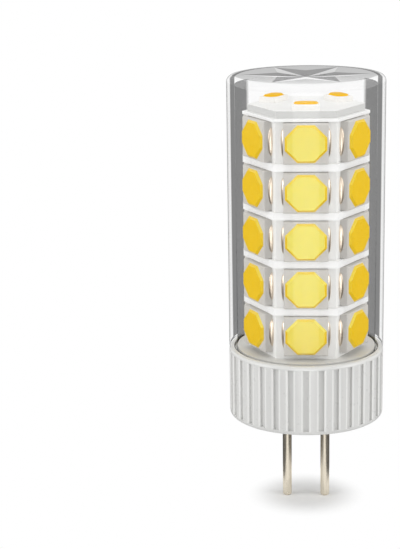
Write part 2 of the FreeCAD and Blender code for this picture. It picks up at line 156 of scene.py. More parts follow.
class BulbSizes(bpy.types.PropertyGroup):
    """Sizes of the pieces that are modelled here."""

    base_floor: length("Base floor", "Thickness of the base's floor", 1.6)
    base_rim: length("Base rim", "Thickness of the rim round the cover's tongue", 0.5)
    base_seat: length("Seat depth", "Depth of the seat for the cover's tongue", 0.85)
    base_shoulder: length("Shoulder", "Rounding of the base's upper edge", 0.35)
    base_foot: length("Foot", "Rounding of the base's lower edge", 0.3)
    well: length("Well radius", "Radius of the well that holds the driver", 6.0)
    ledge: length("Ledge radius", "Inner radius of the ledge under the driver board", 5.4)
    ledge_height: length("Ledge height", "Height of the ledge under the driver board", 3.2)
    flutes: bpy.props.IntProperty(
        name="Flutes", description="Grooves round the base", default=32, min=8)
    flute_width: length("Flute width", "Width of a groove", 0.58)
    flute_depth: length("Flute depth", "Depth of a groove", 0.3)
    flute_foot: length("Flute foot", "Plain band under the grooves", 0.4)
    flute_head: length("Flute head", "Plain band above the grooves", 0.4)
    flute_lip: length("Flute lip", "Width of the soft lip beside a groove", 0.2)
    flute_lip_depth: length("Flute lip depth", "How far a lip falls off towards its groove", 0.08)
    pin_shank: length("Pin shank", "Radius of a pin inside the base", 0.35)
    pin_tip: length("Pin tip", "Rounding of a pin's tip", 0.25)
    cover_wall: length("Cover wall", "Thickness of the cover's wall", 0.8)
    cover_top: length("Cover top", "Thickness of the cover's top", 0.9)
    cover_rim: length("Cover rim", "Rounding of the cover's upper edge", 0.6)
    cover_foot: length("Cover foot", "Rounding of the cover's lower edge", 0.12)
    tongue: length("Tongue radius", "Outer radius of the cover's tongue", 7.45)
    seat_gap: length("Seat gap", "Hair's breadth between the cover and what it sits on", 0.01)
    star_tip: length("Star tip", "Radius of the tips of the faceted star", 6.6)
    star_notch: length("Star notch", "Radius of the notches of the faceted star", 3.3)
    star_land: length("Star land", "Flat band between the star's tips and the rounded rim", 0.3)
    star_depth: length("Star depth", "Depth of the faceted star", 0.25)
    edge: length("Edge", "Rounding of the edges of the rings and the cap", 0.05)
    bead_reach: length("Bead reach", "Width of a solder bead beside its LED", 0.26)


class BulbColours(bpy.types.PropertyGroup):
    """Colours of the finishes."""

    ceramic: colour("Ceramic", "Glazed ceramic of the base", "#D6D6D4")
    # The lips' lighter tint is a painted highlight, in place of the gloss that side light gives them
    ceramic_lip_painted_highlight: colour("Ceramic lips", "Thinner, whiter glaze along the lips of the grooves", "#E6E6E4")
    pin: colour("Pins", "Nickel plate on the pins", "#E6DDCB")
    # The cover's grey where its wall is seen edge on is painted shade
    margin: colour("Cover margin", "Grey of the cover's wall seen edge on", "#8A8A8A")
    board: colour("Boards", "White solder mask of the LED boards", "#F1F1EF")
    # The disc's greyer tint is painted shade under the column
    disc: colour("Disc", "Greyer solder mask of the disc under the column", "#D4D3CF")
    cap: colour("Cap", "White solder mask of the board on top", "#F4F4F2")
    # The cap's grey sides are partly its bare cut edge, partly painted shade under its white top
    cap_bare_edge_and_shade: colour("Cap edge", "Bare cut edge of the board on top", "#D0D0CE")
    ring: colour("Rings", "White plastic of the rings", "#F5F5F4")
    housing: colour("LED housing", "Moulded housing of the LEDs", "#CBC8C3")
    upper_housing: colour("Upper LED housing", "Whiter housing of the small LEDs on top", "#F0EEEA")
    phosphor: colour("Phosphor", "Phosphor silicone of the LEDs", "#F6C800")
    phosphor_sheen: colour("Phosphor sheen", "Tint of the gloss on that silicone", "#00FFDD")
    upper_phosphor: colour("Upper phosphor", "Deeper phosphor silicone of the small LEDs on top", "#F0BA14")
    solder: colour("Solder", "Reflowed solder beads", "#D8CAB8")
    adhesive: colour("Adhesive", "Silicone that bonds the cover", "#E6E6E2")
    driver_board: colour("Driver board", "Green mask of the driver board", "#2E6B3F")
    chip: colour("Chips", "Black epoxy of the driver's components", "#1D1D1E")
    can: colour("Capacitor", "Aluminium can of the capacitor", "#C9CBCE")
    link_pin: colour("Link pins", "Tin plate on the pins between the boards", "#D0CDC4")


class BulbStage(bpy.types.PropertyGroup):
    """Camera, light and floor."""

    distance: length("Camera distance", "How far in front of the bulb's axis the camera stands", 160.22)
    height: length("Camera height", "Height of the camera above the base's underside", 56.34)
    lens: bpy.props.FloatProperty(
        name="Lens", description="Focal length for a 36 mm wide sensor", default=104.79, min=1.0,
        subtype="DISTANCE_CAMERA", unit="CAMERA")
    pitch: angle("Pitch", "Tilt of the camera below the horizon", 14.516)
    yaw: angle("Yaw", "Turn of the camera to the left of the bulb", 3.921)
    roll: angle("Roll", "Roll of the camera that keeps the bulb upright in the turned view", -0.996)
    fill: brightness("Fill", "Light from all round", 0.65)
    overhead: brightness("Overhead", "Face of the softbox above", 0.75)
    sides: brightness("Sides", "Faces of the two softboxes at the sides", 3.05)
    sheen: brightness("Sheen", "Face of the low panel that shows only in gloss", 2.7)
    floor: colour("Floor", "Pale studio floor", "#E6E6E6")
    card: colour("Cards", "Dark cards that show only in gloss", "#2A2A2A")


def add_node(tree, kind, inputs=None, stops=None, **settings):
    """Add a node with its settings, set or link its inputs by name or number, and place a ramp's stops."""
    node = tree.nodes.new(kind)
    for name, value in settings.items():
        setattr(node, name, value)
    for name, value in (inputs or {}).items():
        if isinstance(value, bpy.types.NodeSocket):
            tree.links.new(value, node.inputs[name])
        else:
            node.inputs[name].default_value = value
    if stops:
        elements = node.color_ramp.elements
        while len(elements) < len(stops):
            elements.new(stops[len(elements)][0])
        for element, (position, tint) in zip(elements, stops):
            element.position = position
            element.color = tint
    return node


def new_material(name):
    """Start a node material and return it with its tree and its object coordinates."""
    material = bpy.data.materials.new(name)
    material.use_nodes = True
    tree = material.node_tree
    tree.nodes.clear()
    place = add_node(tree, "ShaderNodeTexCoord").outputs["Object"]
    return material, tree, place


def repeats(millimetres):
    """Give the texture scale whose pattern repeats at a real size."""
    return 1.0 / (millimetres * MM)


def shade(tint, factor=1.0):
    """Give an opaque colour, darkened or lightened by a factor."""
    return (*[min(1.0, share * factor) for share in tint], 1.0)


def grey(tone):
    """Give an opaque neutral colour."""
    return (tone, tone, tone, 1.0)


def mottled(name, tint, patch, spread, grain, rough, bump, stretch=1.0, edge=None, **surface):
    """Make a finish with a slow colour drift, an uneven gloss and a fine grain in its surface.

    Patch and grain are sizes in millimetres, and stretch draws both out along the bulb's axis. Spread is the
    share by which the colour drifts, rough the lowest and highest roughness, and bump the strength of the
    grain. An edge is another tint and the height under which it shows.
    """
    material, tree, place = new_material(name)
    drawn = add_node(tree, "ShaderNodeMapping", {"Vector": place, "Scale": (1.0, 1.0, 1.0 / stretch)})
    drift = add_node(tree, "ShaderNodeTexNoise", {
        "Vector": drawn.outputs["Vector"], "Scale": repeats(patch), "Detail": 3.0})
    fine = add_node(tree, "ShaderNodeTexNoise", {
        "Vector": drawn.outputs["Vector"], "Scale": repeats(grain), "Detail": 2.0})
    gloss = add_node(tree, "ShaderNodeMapRange", {
        "Value": fine.outputs["Fac"], "From Min": NOISE_LOW, "From Max": NOISE_HIGH,
        "To Min": rough[0], "To Max": rough[1]})
    relief = add_node(tree, "ShaderNodeBump", {
        "Height": fine.outputs["Fac"], "Strength": bump, "Distance": GRAIN_HEIGHT})
    paint = add_node(tree, "ShaderNodeValToRGB", {"Fac": drift.outputs["Fac"]}, stops=[
        (NOISE_LOW, shade(tint, 1.0 - spread)), (NOISE_HIGH, shade(tint, 1.0 + spread))])
    # The edge tint below the given height is partly a bare cut edge, partly painted shade
    if edge:
        edge_tint, edge_height = edge
        axes = add_node(tree, "ShaderNodeSeparateXYZ", {"Vector": place})
        covered = add_node(tree, "ShaderNodeMapRange", {
            "Value": axes.outputs["Z"],
            "From Min": edge_height - EDGE_GREY_FULL, "From Max": edge_height - EDGE_GREY_GONE})
        paint = add_node(tree, "ShaderNodeMixRGB", {
            "Fac": covered.outputs["Result"], "Color1": shade(edge_tint), "Color2": paint.outputs["Color"]})
    shader = add_node(tree, "ShaderNodeBsdfPrincipled", {
        "Base Color": paint.outputs["Color"],
        "Roughness": gloss.outputs["Result"],
        "Normal": relief.outputs["Normal"],
        **surface})
    add_node(tree, "ShaderNodeOutputMaterial", {"Surface": shader.outputs["BSDF"]})
    return material


def glazed_ceramic(name, tint):
    """Fired steatite under a thin glaze: smooth and softly glossy, with a slow drift of white."""
    return mottled(
        name, tint, patch=4.0, spread=0.01, grain=0.5, rough=(0.27, 0.31), bump=0.02, IOR=1.55)


def drawn_nickel(tint):
    """Nickel-plated drawn wire: warm grey metal with fine die lines along its length."""
    # Die lines are a few micrometres apart; they are drawn 0.08 mm apart so that they show
    return mottled(
        "nickel-plated drawn wire", tint, patch=0.08, spread=0.08, grain=0.08, rough=(0.24, 0.34),
        bump=0.02, stretch=30.0, Metallic=1.0)


def clear_polycarbonate(name, gloss_range, near, far):
    """Moulded clear plastic: light goes straight through, and painted shade greys its wall seen edge on.

    The gloss range gives the mirrored share of light on a face seen straight on and one seen edge on.
    Near and far give the painted shade: the share of white that the camera sees through a face that
    looks at the eye and one that looks away.
    """
    material, tree, place = new_material(name)
    # Flow marks from the mould give the polish a faint unevenness
    flow = add_node(tree, "ShaderNodeTexNoise", {
        "Vector": place, "Scale": repeats(FLOW_MARKS), "Detail": 2.0})
    gloss = add_node(tree, "ShaderNodeMapRange", {
        "Value": flow.outputs["Fac"], "From Min": NOISE_LOW, "From Max": NOISE_HIGH,
        "To Min": 0.02, "To Max": 0.06})
    facing = add_node(tree, "ShaderNodeLayerWeight", {"Blend": 0.5}).outputs["Facing"]
    away = add_node(tree, "ShaderNodeNewGeometry").outputs["Backfacing"]
    # Painted shade: the face greys where it is seen edge on
    front = add_node(tree, "ShaderNodeValToRGB", {"Fac": facing}, stops=near)
    back = add_node(tree, "ShaderNodeValToRGB", {"Fac": facing}, stops=far)
    painted_edge_shade = add_node(tree, "ShaderNodeMixRGB", {
        "Fac": away, "Color1": front.outputs["Color"], "Color2": back.outputs["Color"]})
    # Lamps shine through the cover unhindered; only the camera sees the painted shade
    direct = add_node(tree, "ShaderNodeLightPath").outputs["Is Camera Ray"]
    shown = add_node(tree, "ShaderNodeMixRGB", {
        "Fac": direct, "Color1": WHITE, "Color2": painted_edge_shade.outputs["Color"]})
    clear = add_node(tree, "ShaderNodeBsdfTransparent", {"Color": shown.outputs["Color"]})
    mirror = add_node(tree, "ShaderNodeBsdfAnisotropic", {"Roughness": gloss.outputs["Result"]})
    steep = add_node(tree, "ShaderNodeMath", {0: facing, 1: MIRROR_POWER}, operation="POWER")
    share = add_node(tree, "ShaderNodeMapRange", {
        "Value": steep.outputs[0], "To Min": gloss_range[0], "To Max": gloss_range[1]})
    both = add_node(tree, "ShaderNodeMixShader", {
        0: share.outputs["Result"], 1: clear.outputs["BSDF"], 2: mirror.outputs["BSDF"]})
    add_node(tree, "ShaderNodeOutputMaterial", {"Surface": both.outputs["Shader"]})
    return material


def solder_mask(name, tint, edge=None):
    """Sprayed solder mask on an LED board: satin, with a fine orange peel. A cut edge is grey: partly bare,
    partly painted shade.
    """
    return mottled(
        name, tint, patch=2.0, spread=0.02, grain=0.12, rough=(0.36, 0.5), bump=0.15, edge=edge)


def ring_plastic(tint):
    """Moulded white plastic of the rings: smooth and fairly glossy."""
    return mottled(
        "moulded white PBT", tint, patch=2.5, spread=0.015, grain=0.2, rough=(0.25, 0.36), bump=0.08)


def housing_plastic(name, tint):
    """Moulded LED housing: pale, slightly chalky from its filler."""
    # The filler's grains are a few hundredths of a millimetre; they are drawn at 0.1 mm so that they show
    return mottled(name, tint, patch=0.9, spread=0.03, grain=0.1, rough=(0.42, 0.58), bump=0.15)


def phosphor_silicone(tint, sheen):
    """Cast silicone full of phosphor powder: soft yellow with a fine grain, under a wet-looking skin.

    The tint of its sheen turns the gloss on the front windows to a pale, slightly green yellow.
    """
    # The powder's grains are about 0.02 mm; they are drawn at 0.09 mm so that they show
    return mottled(
        "phosphor silicone", tint, patch=0.5, spread=0.03, grain=0.09, rough=(0.26, 0.32), bump=0.1,
        **{"IOR": 1.8, "Specular Tint": shade(sheen)})


def amber_silicone(tint):
    """Deeper phosphor silicone of the upper LEDs: amber, with a dull skin."""
    # The powder's grains are drawn at 0.1 mm so that they show
    return mottled(
        "amber phosphor silicone", tint, patch=0.5, spread=0.04, grain=0.1, rough=(0.45, 0.6), bump=0.12,
        **{"Specular IOR Level": 0.1})


def reflowed_solder(tint):
    """Reflowed tin solder: a satin skin that mirrors its surroundings softly."""
    return mottled(
        "reflowed tin solder", tint, patch=0.4, spread=0.05, grain=0.12, rough=(0.28, 0.42), bump=0.2,
        Metallic=1.0)


def milky_silicone(tint):
    """Cured silicone adhesive: milky and slightly rubbery."""
    return mottled(
        "milky silicone adhesive", tint, patch=1.2, spread=0.03, grain=0.3, rough=(0.4, 0.55), bump=0.2)


def glass_epoxy(tint):
    """Green mask over glass epoxy, faintly mottled by the weave under it."""
    return mottled(
        "green glass epoxy board", tint, patch=0.6, spread=0.12, grain=0.15, rough=(0.35, 0.5), bump=0.25)


def moulding_epoxy(tint):
    """Black epoxy of moulded components: matt, with a sandy mould grain."""
    return mottled(
        "black moulding epoxy", tint, patch=0.5, spread=0.15, grain=0.08, rough=(0.5, 0.65), bump=0.3)


def drawn_can(tint):
    """Drawn aluminium can: bright, with an uneven satin skin."""
    return mottled(
        "drawn aluminium can", tint, patch=0.7, spread=0.05, grain=0.1, rough=(0.25, 0.38), bump=0.15,
        Metallic=1.0)


def tinned_brass(tint):
    """Tin-plated brass of header pins: soft bright metal."""
    return mottled(
        "tinned brass", tint, patch=0.5, spread=0.06, grain=0.1, rough=(0.25, 0.4), bump=0.15, Metallic=1.0)


def black_card(tint):
    """Dull black card of the studio: matt, with a slow drift."""
    return mottled("black card", tint, patch=10.0, spread=0.1, grain=1.0, rough=(0.8, 0.9), bump=0.1)


def finish(names, material):
    """Give CAD nodes their material."""
    for name in names:
        mesh = NODES[name].data
        mesh.materials.clear()
        mesh.materials.append(material)


def soften(name, width):
    """Round a CAD node's edges a little."""
    node = NODES[name]
    weld = node.modifiers.new("Weld", "WELD")
    weld.merge_threshold = MERGE
    bevel = node.modifiers.new("Bevel", "BEVEL")
    bevel.width = width
    bevel.segments = 2
    bevel.limit_method = "ANGLE"


def everything(bm):
    """List all vertices, edges and faces of a mesh."""
    return bm.verts[:] + bm.edges[:] + bm.faces[:]


def pick(geometry, kind):
    """Pick the vertices, edges or faces out of what an operator gives back."""
    return [item for item in geometry if isinstance(item, kind)]


def chain(bm, points):
    """Add a run of edges through points given as radius and height, and return its vertices."""
    corners = [bm.verts.new((across, 0.0, up)) for across, up in points]
    for first, second in zip(corners, corners[1:]):
        bm.edges.new((first, second))
    return corners


def round_corner(bm, corner, radius, segments):
    """Round one corner of a run of edges."""
    bmesh.ops.bevel(
        bm, geom=[corner], affect="VERTICES", offset_type="OFFSET", offset=radius,
        segments=segments, profile=0.5, material=-1)


def turn_full(bm, steps):
    """Turn everything in the mesh once round the bulb's axis."""
    bmesh.ops.spin(
        bm, geom=everything(bm), cent=CENTRE, axis=UP, angle=math.tau, steps=steps, use_merge=True)
    bmesh.ops.remove_doubles(bm, verts=bm.verts, dist=MERGE)


def repeat_round(bm, count):
    """Set copies of the whole mesh round the bulb's axis, so that there are as many as the count."""
    copies = count - 1
    bmesh.ops.spin(
        bm, geom=everything(bm), cent=CENTRE, axis=UP,
        angle=math.tau / count * copies, steps=copies, use_duplicate=True)


def add_mesh(name, bm, materials):
    """Turn a finished bmesh into an object in the scene."""
    mesh = bpy.data.meshes.new(name)
    bm.to_mesh(mesh)
    bm.free()
    for material in materials:
        mesh.materials.append(material)
    item = bpy.data.objects.new(name, mesh)
    bpy.context.scene.collection.objects.link(item)
    return item


def make_piece(name, bm, materials, nodes, sharp, flat=None):
    """Turn a finished bmesh into a piece that stands for CAD nodes.

    It is smooth but for edges sharper than an angle in degrees, and but for one flat material.
    """
    bmesh.ops.recalc_face_normals(bm, faces=bm.faces)
    piece = add_mesh(name, bm, materials)
    piece.data.set_sharp_from_angle(angle=math.radians(sharp))
    for face in piece.data.polygons:
        face.use_smooth = face.material_index != flat
    # Long walls keep their own direction, so that the rounded edges beside them don't bend their shading
    weighted = piece.modifiers.new("Weighted Normal", "WEIGHTED_NORMAL")
    weighted.keep_sharp = True
    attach(piece, "root")
    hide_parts(*nodes)


class BULB_OT_base(bpy.types.Operator):
    """Model the fluted ceramic base"""

    bl_idname = "bulb.base"
    bl_label = "Ceramic Base"

    def execute(self, context):
        sizes = context.scene.bulb_sizes
        colours = context.scene.bulb_colours
        radius, top = BASE_HIGH.x, BASE_HIGH.z
        seat = top - sizes.base_seat
        groove_low, groove_high = sizes.flute_foot, top - sizes.flute_head
        bm = bmesh.new()
        corners = chain(bm, [
            (0.0, 0.0),
            (radius, 0.0),
            (radius, groove_low),
            (radius, groove_high),
            (radius, top),
            (radius - sizes.base_rim, top),
            (radius - sizes.base_rim, seat),
            (sizes.well, seat),
            (sizes.well, sizes.ledge_height),
            (sizes.ledge, sizes.ledge_height),
            (sizes.ledge, sizes.base_floor),
            (0.0, sizes.base_floor),
        ])
        foot, shoulder = corners[1], corners[4]
        round_corner(bm, foot, sizes.base_foot, segments=4)
        round_corner(bm, shoulder, sizes.base_shoulder, segments=5)
        # One sector, with its groove at the front, is spun as five strips
        sector = math.tau / sizes.flutes
        groove = 2 * math.asin(sizes.flute_width / 2 / radius)
        lip = sizes.flute_lip / radius
        land = (sector - groove) / 2 - lip
        start = Matrix.Rotation(-math.pi / 2 - sector / 2, 3, "Z")
        bmesh.ops.rotate(bm, verts=bm.verts, cent=CENTRE, matrix=start)
        run = everything(bm)
        for strip in (land, lip, groove, lip, land):
            turned = bmesh.ops.spin(bm, geom=run, cent=CENTRE, axis=UP, angle=strip, steps=1)
            run = turned["geom_last"]
        self.sink_groove(bm, sizes, Vector((0.0, -radius, (groove_low + groove_high) / 2)))
        repeat_round(bm, sizes.flutes)
        bmesh.ops.remove_doubles(bm, verts=bm.verts, dist=MERGE)
        body = glazed_ceramic("glazed steatite ceramic", colours.ceramic)
        # The lips' thin glaze is a painted highlight
        thin = glazed_ceramic("glazed steatite ceramic, painted lip highlight", colours.ceramic_lip_painted_highlight)
        make_piece("ceramic_base", bm, [body, thin], nodes=["base"], sharp=40)
        return {"FINISHED"}

    def sink_groove(self, bm, sizes, middle):
        """Sink one groove into the front sector: a flat bed between two sloping lips."""
        near = sorted(bm.faces, key=lambda face: (face.calc_center_median() - middle).length)
        bed_and_lips = near[:3]
        sunk = bmesh.ops.extrude_face_region(bm, geom=bed_and_lips)["geom"]
        bmesh.ops.delete(bm, geom=bed_and_lips, context="FACES")
        half = sizes.flute_width / 2 + MERGE
        rim = [vert for vert in pick(sunk, BMVert) if abs(vert.co.x) < half]
        bmesh.ops.translate(bm, verts=rim, vec=(0.0, sizes.flute_lip_depth, 0.0))
        # The lips take the painted highlight, and the bed keeps the plain glaze
        panels = pick(sunk, BMFace)
        for panel in panels:
            panel.material_index = PAINTED_LIP_HIGHLIGHT
        bed = min(panels, key=lambda face: abs(face.calc_center_median().x))
        bed.material_index = GLAZE
        sunk = bmesh.ops.extrude_face_region(bm, geom=[bed])["geom"]
        bmesh.ops.delete(bm, geom=[bed], context="FACES_ONLY")
        depth = sizes.flute_depth - sizes.flute_lip_depth
        bmesh.ops.translate(bm, verts=pick(sunk, BMVert), vec=(0.0, depth, 0.0))


class BULB_OT_pins(bpy.types.Operator):
    """Model the two contact pins"""

    bl_idname = "bulb.pins"
    bl_label = "Contact Pins"

    def execute(self, context):
        sizes = context.scene.bulb_sizes
        metal = drawn_nickel(context.scene.bulb_colours.pin)
        radius = (PIN_HIGH.x - PIN_LOW.x) / 2
        for side in ("left", "right"):
            low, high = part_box(f"contact_pin_{side}")
            bm = bmesh.new()
            corners = chain(bm, [
                (0.0, low.z),
                (radius, low.z),
                (radius, BASE_LOW.z),
                (sizes.pin_shank, BASE_LOW.z),
                (sizes.pin_shank, high.z),
                (0.0, high.z),
            ])
            tip = corners[1]
            round_corner(bm, tip, sizes.pin_tip, segments=5)
            turn_full(bm, steps=48)
            bmesh.ops.translate(bm, verts=bm.verts, vec=((low.x + high.x) / 2, 0.0, 0.0))
            make_piece(
                f"pin_{side}", bm, [metal], nodes=[f"contact_pin_{side}"], sharp=50)
        return {"FINISHED"}


class BULB_OT_cover(bpy.types.Operator):
    """Model the clear cover with its rounded rim and faceted star"""

    bl_idname = "bulb.cover"
    bl_label = "Clear Cover"

    def execute(self, context):
        sizes = context.scene.bulb_sizes
        radius, top = COVER_HIGH.x, COVER_HIGH.z
        inner, ceiling = radius - sizes.cover_wall, top - sizes.cover_top
        sole, step = COVER_LOW.z + sizes.seat_gap, BASE_HIGH.z + sizes.seat_gap
        bm = bmesh.new()
        corners = chain(bm, [
            (0.0, ceiling),
            (inner, ceiling),
            (inner, sole),
            (sizes.tongue, sole),
            (sizes.tongue, step),
            (radius, step),
            (radius, top),
            (sizes.star_tip + sizes.star_land, top),
        ])
        foot, rim = corners[5], corners[6]
        round_corner(bm, rim, sizes.cover_rim, segments=8)
        round_corner(bm, foot, sizes.cover_foot, segments=3)
        turn_full(bm, steps=120)
        self.sink_star(bm, sizes, top)
        for face in bm.faces:
            centre = face.calc_center_median()
            across = centre.xy.length
            bonded = centre.z < step + MERGE
            face.material_index = TUBE
            if bonded or across < inner + MERGE and centre.z < ceiling - MERGE:
                face.material_index = WALL
            if across < sizes.star_tip and top - sizes.star_depth < centre.z < top - MERGE:
                face.material_index = FACET
            if centre.z > top - MERGE:
                face.material_index = LAND
        materials = self.finishes(context.scene.bulb_colours.margin)
        make_piece("cover_tube", bm, materials, nodes=["cover"], sharp=35, flat=FACET)
        return {"FINISHED"}

    def sink_star(self, bm, sizes, top):
        """Close the cover's top with a flat land and a shallow star that sinks to one point."""
        opening = [edge for edge in bm.edges if edge.is_boundary]
        star = bmesh.ops.create_circle(bm, radius=sizes.star_tip, segments=2 * FACES)["verts"]
        # Every second point of the circle is a notch, and the others are tips
        spacing = math.pi / FACES
        notches = [vert for vert in star if round(math.atan2(vert.co.y, vert.co.x) / spacing) % 2]
        bmesh.ops.scale(bm, verts=notches, vec=(sizes.star_notch / sizes.star_tip,) * 3)
        bmesh.ops.translate(bm, verts=star, vec=(0.0, 0.0, top))
        outline = [edge for edge in bm.edges if edge.verts[0] in star]
        bmesh.ops.triangle_fill(bm, edges=opening + outline, use_beauty=True, normal=UP)
        sunk = bmesh.ops.extrude_edge_only(bm, edges=outline)["geom"]
        bmesh.ops.pointmerge(bm, verts=pick(sunk, BMVert), merge_co=(0.0, 0.0, top - sizes.star_depth))

    def finishes(self, margin):
        """Make the materials in the order of their places.

        Each stop is a turn, where 0 is a face seen straight on and 1 one seen edge on, and the share of
        white that the camera sees there. The greys are painted shade.
        """
        margin = shade(margin)
        clear = [(0.0, WHITE), (1.0, WHITE)]
        # The greys on the tube, inner wall, star facets and top face are painted shade where each is seen
        # edge on
        tube_near_painted_shade = [(0.0, WHITE), (0.8, WHITE), (0.87, grey(0.86)), (0.93, grey(0.7)), (1.0, grey(0.4))]
        tube_far_painted_shade = [
            (0.0, WHITE), (0.556, WHITE), (0.568, margin), (0.685, margin),
            (0.72, WHITE), (0.87, WHITE), (0.93, grey(0.62)), (1.0, grey(0.62))]
        wall_near_painted_shade = [(0.0, WHITE), (0.4, WHITE), (0.46, margin), (0.88, margin), (0.93, grey(0.9))]
        facet_near_painted_shade = [
            (0.0, WHITE), (0.5, WHITE), (0.78, grey(0.3)),
            (0.855, grey(0.34)), (0.885, grey(0.72)), (0.94, WHITE)]
        land_near_painted_shade = [(0.0, WHITE), (0.862, WHITE), (0.869, grey(0.52)), (1.0, grey(0.46))]
        return [
            clear_polycarbonate(
                "clear polycarbonate", gloss_range=(0.012, 0.3), near=tube_near_painted_shade, far=tube_far_painted_shade),
            clear_polycarbonate(
                "clear polycarbonate, inner wall", gloss_range=(0.012, 0.03), near=wall_near_painted_shade, far=clear),
            clear_polycarbonate(
                "clear polycarbonate, star facets", gloss_range=(0.05, 0.1), near=facet_near_painted_shade, far=clear),
            clear_polycarbonate(
                "clear polycarbonate, top face", gloss_range=(0.012, 0.3), near=land_near_painted_shade, far=clear),
        ]


class BULB_OT_solder(bpy.types.Operator):
    """Model the solder beads at both sides of each LED"""

    bl_idname = "bulb.solder"
    bl_label = "Solder Beads"

    def execute(self, context):
        reach = context.scene.bulb_sizes.bead_reach
        board = LED_HIGH.y
        first = (LED_LOW.z + LED_HIGH.z) / 2
        last = (LAST_LED_LOW.z + LAST_LED_HIGH.z) / 2
        # The box round all beads tells how far they rise from their boards, and half the length of one
        rise = BEADS_HIGH.y + board
        half = BEADS_HIGH.z - last
        bm = bmesh.new()
        bmesh.ops.create_uvsphere(bm, u_segments=12, v_segments=10, radius=1.0)
        bmesh.ops.scale(bm, verts=bm.verts, vec=(reach, rise, half))
        # A quarter of it stays, in the corner between the LED's side and the board
        for normal in ((-1.0, 0.0, 0.0), (0.0, 1.0, 0.0)):
            cut = bmesh.ops.bisect_plane(
                bm, geom=everything(bm), plane_co=CENTRE, plane_no=normal, clear_outer=True, dist=MERGE)
            bmesh.ops.edgenet_fill(bm, edges=pick(cut["geom_cut"], BMEdge))
        bmesh.ops.translate(bm, verts=bm.verts, vec=(LED_HIGH.x, board, first))
        bmesh.ops.mirror(bm, geom=everything(bm), axis="X", merge_dist=-1.0)
        pair = everything(bm)
        pitch = (last - first) / (ROWS - 1)
        for row in range(1, ROWS):
            copy = bmesh.ops.duplicate(bm, geom=pair)["geom"]
            bmesh.ops.translate(bm, verts=pick(copy, BMVert), vec=(0.0, 0.0, pitch * row))
        repeat_round(bm, FACES)
        tin = reflowed_solder(context.scene.bulb_colours.solder)
        make_piece("solder_beads", bm, [tin], nodes=["solder_joints"], sharp=50)
        return {"FINISHED"}


class BULB_OT_column(bpy.types.Operator):
    """Finish the boards, rings, cap and disc of the column"""

    bl_idname = "bulb.column"
    bl_label = "Board Column"

    def execute(self, context):
        colours = context.scene.bulb_colours
        boards = [f"led_board_{face}" for face in range(1, FACES + 1)]
        # The cap's sides are grey: partly its bare cut edge, partly painted shade
        cap_bare_edge_and_shade = (colours.cap_bare_edge_and_shade, CAP_HIGH.z)
        finish(boards, solder_mask("white solder mask", colours.board))
        # The disc's greyer mask is painted shade under the column
        finish(["column_disc"], solder_mask("solder mask, greyed by painted shade", colours.disc))
        finish(["top_board"], solder_mask("white solder mask, bare edge and painted shade", colours.cap, cap_bare_edge_and_shade))
        finish(["board_rings"], ring_plastic(colours.ring))
        for name in ("board_rings", "top_board"):
            soften(name, context.scene.bulb_sizes.edge)
        return {"FINISHED"}


class BULB_OT_leds(bpy.types.Operator):
    """Finish the LED housings and their phosphor windows"""

    bl_idname = "bulb.leds"
    bl_label = "LEDs"

    def execute(self, context):
        colours = context.scene.bulb_colours
        housings = [name for name in NODES if name.startswith("led_") and "board" not in name]
        upper = [name for name in NODES if name.startswith("top_led_")]
        windows = [f"phosphor_{face}" for face in range(1, FACES + 1)]
        finish(housings, housing_plastic("filled polyphthalamide", colours.housing))
        finish(upper, housing_plastic("white polyphthalamide", colours.upper_housing))
        finish(windows, phosphor_silicone(colours.phosphor, colours.phosphor_sheen))
        finish(["top_phosphors"], amber_silicone(colours.upper_phosphor))
        return {"FINISHED"}


class BULB_OT_driver(bpy.types.Operator):
    """Finish the driver in the base, its pins and the cover's adhesive"""

    bl_idname = "bulb.driver"
    bl_label = "Driver"

    def execute(self, context):
        colours = context.scene.bulb_colours
        finish(["driver_board"], glass_epoxy(colours.driver_board))
        finish(["rectifier", "driver_chip"], moulding_epoxy(colours.chip))
        finish(["capacitor"], drawn_can(colours.can))
        finish(["link_pins"], tinned_brass(colours.link_pin))
        finish(["cover_adhesive"], milky_silicone(colours.adhesive))
        return {"FINISHED"}


def add_lamp(name, place, target, width, height, level):
    """Add a soft rectangular lamp of an even brightness that faces a point."""
    lamp = bpy.data.lights.new(name, "AREA")
    lamp.shape = "RECTANGLE"
    lamp.size = width
    lamp.size_y = height
    lamp.energy = level * math.pi * width * height
    item = bpy.data.objects.new(name, lamp)
    item.location = place
    item.rotation_euler = (Vector(target) - Vector(place)).to_track_quat("-Z", "Y").to_euler()
    item.visible_camera = False
    bpy.context.scene.collection.objects.link(item)
    return item


